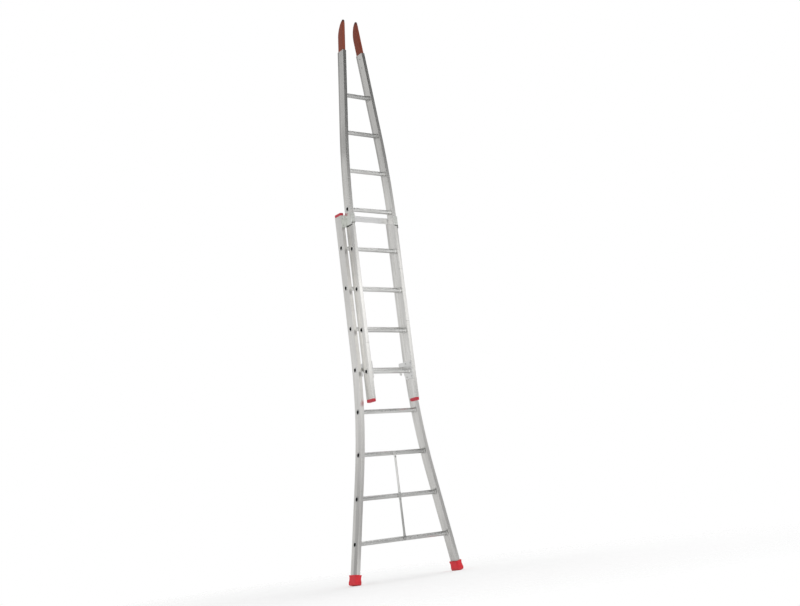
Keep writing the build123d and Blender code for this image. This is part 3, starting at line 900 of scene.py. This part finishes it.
def wooden_tip(section):
    """Right-hand tip as rounded sections along the stile's slope: a tenon of the cavity's size, then a plank
    with softened corners. Its back edge follows an arc that starts straight at the shoulder and ends at the
    point. Towards the point the thickness shrinks as the square of the way along, and the last sections draw
    in as a quarter circle."""
    half_x, half_y = cavity_half_width - tip_gap, cavity_half_depth - tip_gap
    rise, inward = tip_length - tip_shoulder, 2 * half_y - tip_point
    bend = (rise**2 + inward**2) / (2 * inward)
    close = np.radians(np.linspace(0, 85, 8))[1:]
    tenon = [-tip_tenon, -tip_tenon + tip_round / 2, -hold_step, hold_step]
    plank = np.linspace(tip_round, tip_length - tip_round, 48)
    axial = np.r_[tenon, plank, tip_length - tip_round + tip_round * np.sin(close)]
    past = np.maximum(axial - tip_shoulder, 0)
    back = half_y - bend + np.sqrt(bend**2 - past**2)
    draw = np.zeros(len(axial))
    draw[-len(close):] = tip_round * (1 - np.cos(close))
    draw[0] = tip_round / 2
    thinned = np.maximum(axial - tip_length + tip_thinned_length, 0) / tip_thinned_length
    width = half_x - draw - tip_thinned * thinned**2
    depth = (back + half_y) / 2 - draw
    corner = np.where(axial < 0, cavity_corner, tip_round)
    corner = np.minimum(corner, tip_roundness * np.minimum(width, depth))
    outline = rounded_loops(tip_cells, width, depth, corner)
    middle = (back - half_y)[:, None] / 2
    straight = points_of(outline[..., 0], outline[..., 1] + middle, axial[:, None]).reshape(-1, 3)
    quads, lids = stack_faces(outline)
    return on_end(section, "top", *straight.T), quads, lids, [straight, straight + tip_pattern_shift]


def stained_wood(name):
    """Stained hardwood: growth bands, which are a sine across the grain that noise shifts, fine pores along
    the grain, an oiled satin surface, and grime worn into the point."""
    material, tree, shader = new_finish(name)
    place = along(tree, "straight")
    drift = speckle(place, wood_drift, detail=3.0)
    pores = speckle(place, wood_pores, detail=3.0)
    across = sums("MULTIPLY", axis_of(place, "X"), band_turns["across"])
    depth = sums("MULTIPLY", axis_of(place, "Y"), band_turns["depth"])
    shifted = sums("MULTIPLY", drift, band_turns["drift"])
    wave = sums("SINE", sums("ADD", sums("ADD", across, depth), shifted))
    bands = sums("MULTIPLY", ranged(wave, (-1.0, 1.0)), band_share)
    shade = sums("ADD", bands, ranged(pores, middling, pore_shade))
    body = blended(shade, tone(wood_dark), tone(wood_brown))
    end = ranged(axis_of(place, "Z"), tip_grime)
    grime = sums("MULTIPLY", end, ranged(drift, (0.3, 0.6), (0.5, 1.0)))
    aged = blended(sums("MULTIPLY", grime, tip_grime_share), body, tone(wood_worn))
    rough = ranged(pores, middling, (0.6, 0.46))
    shader.inputs["Specular IOR Level"].default_value = 0.25
    finish(tree, shader, aged, rough, pores, pore_depth, 0.6)
    return material


pair("tip", "turned", "upper_section", "tip_wood", stained_wood("tip_wood"), *wooden_tip(upper))


# Rivets
# Blind aluminium rivets: a domed head with the hollow that the snapped mandrel leaves, a shank through the
# plates and a bulb pulled up behind them. They hold the brackets, the hooks, the tie rod and the tips.
rivet_head = 0.005
rivet_height = 0.002
rivet_shank = 0.0024
rivet_bulb = 0.0034
rivet_bulb_length = 0.0035
bulb_round = 0.0006
mandrel = 0.0013
mandrel_depth = 0.0008
mandrel_land = 0.0003
mandrel_drop = 0.0002
rivet_points = 28
unused_heading = (0.0, 1.0, 0.17)
guide_rivet_drop = 0.023
guide_rivet_edge = 0.013
hook_rivet_edge = 0.013
hook_above = 0.060
hook_below = 0.048
tip_rivet_margin = 0.032
stile_wall = 0.002
rung_wall = 0.0023
rivet_wear = 0.5


def pulled_rivets(seats, normals, grip):
    """Group of rivets: one outline of (radius, height), from the mandrel's hollow over the dome and down the
    shank to the bulb, turned round each seat's normal."""
    swell = np.radians(np.linspace(80, 0, 8))
    land = mandrel + mandrel_land
    dome = np.column_stack([land + (rivet_head - land) * np.cos(swell), rivet_height * np.sin(swell)])
    floor = rivet_height - mandrel_depth
    hollow = [(mandrel / 2, floor), (mandrel, floor), (mandrel, rivet_height - mandrel_drop)]
    bulb_top = -grip - seat_gap
    bulb_end = bulb_top - rivet_bulb_length
    bulb = [(rivet_shank, bulb_top), (rivet_bulb, bulb_top - bulb_round),
            (rivet_bulb, bulb_end + bulb_round), (rivet_shank / 2, bulb_end)]
    outline = np.concatenate([hollow, dome, [(rivet_shank, 0)], bulb])
    turn = np.linspace(0, 2 * pi, rivet_points, endpoint=False)[:, None]
    seats, normals = np.asarray(seats, float), np.asarray(normals, float)
    first = np.cross(normals, unused_heading)
    first /= np.linalg.norm(first, axis=1, keepdims=True)
    second = np.cross(normals, first)
    radius, height = outline[:, 0, None, None], outline[:, 1, None, None]
    ring = np.cos(turn) * first[:, None, None] + np.sin(turn) * second[:, None, None]
    places = seats[:, None, None] + radius * ring + height * normals[:, None, None]
    numbers = np.arange(places[..., 0].size).reshape(places.shape[:3])
    quads = np.concatenate([cells(ringed(one)) for one in numbers])
    return places, quads, [one[end] for one in numbers for end in (0, -1)]


def both_sides(points):
    """Places and their mirror images."""
    points = np.asarray(points, float)
    return np.concatenate([points, mirrored(points)])


rivet_metal = aluminium(
    "rivet_aluminium", pale=(212, 212, 210), dull=(158, 158, 157), scuff=(96, 95, 93),
    grain=(500.0, 500.0, 500.0), roughness=(0.28, 0.44),
)
front = (0, -1, 0)
inner = (-1, 0, 0)
guide_seats = [(lower["x"], flange_y, z)
               for z in (lower["top"] - guide_rivet_drop, bracket_low.z + guide_rivet_edge)]
tie_front = tie_axis_y - flat_half_depth
tie_seats = [(0, tie_front, z) for z in lower["rungs"][:tie_rungs]]
hook_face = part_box("hook_right")[0].x
ridge_middle = (groove_half + stile_half_depth - stile_corner) / 2
hook_seats = [(hook_face, upper["y"] + side * ridge_middle, upper["rungs"][0] + height)
              for side in (-1, 1) for height in (hook_above - hook_rivet_edge, hook_rivet_edge - hook_below)]
tip_depths = np.array([tip_rivet_margin, tip_tenon - tip_rivet_margin])
tip_seats = on_end(upper, "top", groove_floor, 0.0, -tip_depths)
tip_out = (cos(upper_taper), 0, sin(upper_taper))
rivet_groups = (
    ("guide_rivets", "lower_section", both_sides(guide_seats), [front] * 4, strap_thickness + stile_wall),
    ("tie_rod_rivets", "lower_section", tie_seats, [front] * 3, 2 * flat_half_depth + rung_wall),
    ("hook_rivets", "upper_section", both_sides(hook_seats), both_sides([inner] * 4),
     hook_thickness + stile_half_width - cavity_half_width),
    ("tip_rivets", "upper_section", both_sides(tip_seats), both_sides([tip_out] * 2), 2 * groove_floor),
)
for node, body, seats, normals, grip in rivet_groups:
    points, quads, lids = pulled_rivets(seats, normals, grip)
    wear = np.full(points[..., 0].size, rivet_wear)
    fitted(node, "pulled", body, "rivet_aluminium", rivet_metal, points, quads, lids, wear=wear)


# Floor
# A round matt white sheet just below the soles, which takes the ladder's soft shadow. It turns clear towards
# its rim, so that it fades out into the white background.
floor_reach = 3.0
floor_middle = 0.02
floor_drop = 0.0002
floor_fade = (0.9, 2.8)
floor_white = (245, 245, 245)
floor_rough = 0.9
radius = np.linspace(floor_middle, floor_reach, 24)[:, None]
turn = np.linspace(0, 2 * pi, 64, endpoint=False)
points = points_of(radius * np.cos(turn), radius * np.sin(turn), -floor_drop)
quads, lids = stack_faces(points)
sheet = meshed("studio_floor", points, quads, lids[:1])
material, tree, shader = new_finish("studio_floor")
shader.inputs["Base Color"].default_value = tone(floor_white)
shader.inputs["Roughness"].default_value = floor_rough
shader.inputs["Specular IOR Level"].default_value = 0.0
distance = put("VectorMath", {0: along(tree)}, "Value", operation="LENGTH")
tree.links.new(ranged(distance, floor_fade, (1.0, 0.0)), shader.inputs["Alpha"])
sheet.data.materials.append(material)


# Light
# A white studio with even soft light all round. The room that the metal mirrors is palest near the floor and
# has two dark corners in front and a bright ceiling, all on the right. Soft panels stand between the corners
# and by the camera, and one overhead gives light but isn't mirrored.
room_light = 0.9
backdrop_white = 1.0
room_white = 0.84
room_low = {"rise": (-0.16, -0.04), "level": 1.1}
room_high = {"rise": (0.20, 0.45), "level": 0.70}
room_ceiling = {"rise": (0.62, 0.74), "right": (0.0, 0.3), "gain": 1.7}
dark_corners = {
    "high": {"azimuth": 36.5, "elevation": 35.0, "inside": 15.5, "outside": 20.5, "level": 0.05},
    "low": {"azimuth": 46.3, "elevation": -1.5, "inside": 9.8, "outside": 11.6, "level": 0.0},
}
panels = {
    "front_panel": {"place": (3.9, -5.3, 3.0), "aim_z": 1.6, "size": (2.6, 1.6), "watts": 9.8},
    "fill_panel": {"place": (-3.9, -5.8, 2.9), "aim_z": 1.6, "size": (1.6, 2.0), "watts": 16.0},
    "top_panel": {"place": (3.4, 0.4, 6.2), "aim_z": 1.2, "size": (4.0, 4.0), "watts": 80.0},
}
unmirrored = "top_panel"
scene = bpy.context.scene
scene.world = bpy.data.worlds.new("studio")
scene.world.use_nodes = True
sky = scene.world.node_tree
direction = source(sky, "TexCoord", "Generated")
upward = axis_of(direction, "Z")
below = ranged(upward, room_low["rise"], (room_low["level"] * room_white, room_white))
above = ranged(upward, room_high["rise"], (1.0, room_high["level"]))
ceiling = ranged(upward, room_ceiling["rise"], (0.0, room_ceiling["gain"]))
on_right = ranged(axis_of(direction, "X"), room_ceiling["right"])
overhead = sums("ADD", sums("MULTIPLY", ceiling, on_right), 1.0)
mirrored_room = sums("MULTIPLY", sums("MULTIPLY", below, above), overhead)
for corner in dark_corners.values():
    azimuth, elevation = radians(corner["azimuth"]), radians(corner["elevation"])
    middle = (sin(azimuth) * cos(elevation), -cos(azimuth) * cos(elevation), sin(elevation))
    nearness = put("VectorMath", {0: direction, 1: middle}, "Value", operation="DOT_PRODUCT")
    edges = [cos(radians(corner[edge])) for edge in ("outside", "inside")]
    mirrored_room = sums("MULTIPLY", mirrored_room, ranged(nearness, edges, (1.0, corner["level"])))
paths = sky.nodes.new("ShaderNodeLightPath").outputs
seen = sums("MAXIMUM", paths["Is Camera Ray"], paths["Is Transmission Ray"])
unseen = put("Mix", {0: paths["Is Glossy Ray"], 2: room_light, 3: mirrored_room})
background = sky.nodes["Background"].inputs
background["Color"].default_value = tone((255, 255, 255))
sky.links.new(put("Mix", {0: seen, 2: unseen, 3: backdrop_white}), background["Strength"])
for name, panel in panels.items():
    lamp = bpy.data.lights.new(name, "AREA")
    lamp.shape = "RECTANGLE"
    lamp.size, lamp.size_y = panel["size"]
    lamp.energy = panel["watts"]
    light = bpy.data.objects.new(name, lamp)
    light.location = panel["place"]
    heading = Vector((0.0, 0.0, panel["aim_z"])) - Vector(panel["place"])
    light.rotation_euler = heading.to_track_quat("-Z", "Y").to_euler()
    light.visible_camera = False
    light.visible_glossy = name != unmirrored
    scene.collection.objects.link(light)


# Camera
# The photograph's view, from the front and the left, fitted to the ends of the rungs and to the feet. There
# the ladder leans, while the part stands upright, so the camera is low, tilted up and rolled instead.
camera_place = (-3.93155, -5.35674, 0.25298)
camera_heading = radians(37.4202)
camera_pitch = radians(11.5771)
camera_roll = radians(-7.1489)
camera_lens = 50.326
sensor_width = 36.0
farthest_seen = 100.0
view = bpy.data.cameras.new("view")
view.lens = camera_lens
view.sensor_width = sensor_width
view.clip_end = farthest_seen
camera = bpy.data.objects.new("view", view)
turned = (
    Matrix.Rotation(-camera_heading, 4, "Z")
    @ Matrix.Rotation(pi / 2 + camera_pitch, 4, "X")
    @ Matrix.Rotation(camera_roll, 4, "Z")
)
camera.matrix_world = Matrix.Translation(camera_place) @ turned
scene.collection.objects.link(camera)
scene.camera = camera
scene.view_settings.view_transform = "Standard"
